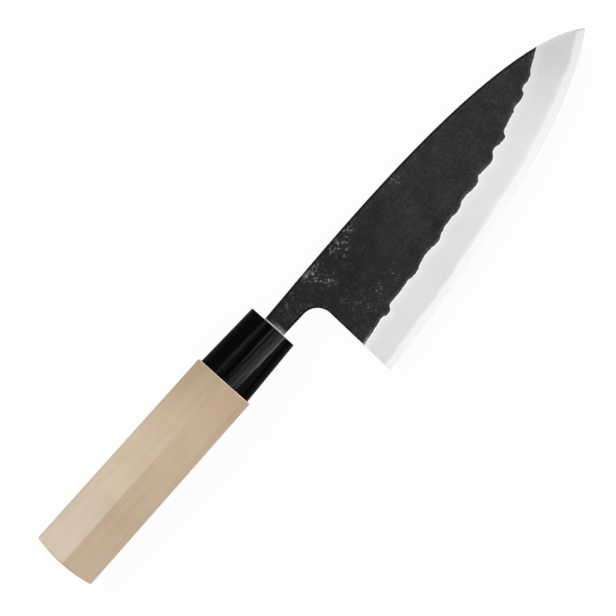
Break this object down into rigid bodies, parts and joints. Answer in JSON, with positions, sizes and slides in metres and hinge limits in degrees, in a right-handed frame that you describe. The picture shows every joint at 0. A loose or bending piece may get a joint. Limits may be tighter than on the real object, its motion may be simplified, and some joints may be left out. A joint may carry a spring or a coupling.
{
  "type": "deba knife",
  "caption": "Single-bevel deba knife with a laminated, hollow-backed blade, black forge scale and a pale wooden handle in a black ferrule.",
  "frame": {"origin": "under the middle of the knife's bounding box, at the height of the handle's lowest line when it lies flat, bevelled front up", "axes": "+X from the butt towards the tip, along the handle; +Y from the cutting edge towards the spine; +Z out of the bevelled front of the blade"},
  "size_m": [0.3142, 0.0636, 0.0235],
  "materials": {
    "scaled_iron": "black forge scale, ground bright along the bevel",
    "hard_steel": "ground and honed",
    "ferrule": "polished black",
    "handle_wood": "sanded, unvarnished pale wood",
    "bedding": "dark resin"
  },
  "bodies": {
    "root": {"soft_iron_body": "scaled_iron", "hard_steel_layer": "hard_steel", "ferrule": "ferrule", "wooden_handle": "handle_wood", "tang_bedding": "bedding"}
  },
  "joints": []
}
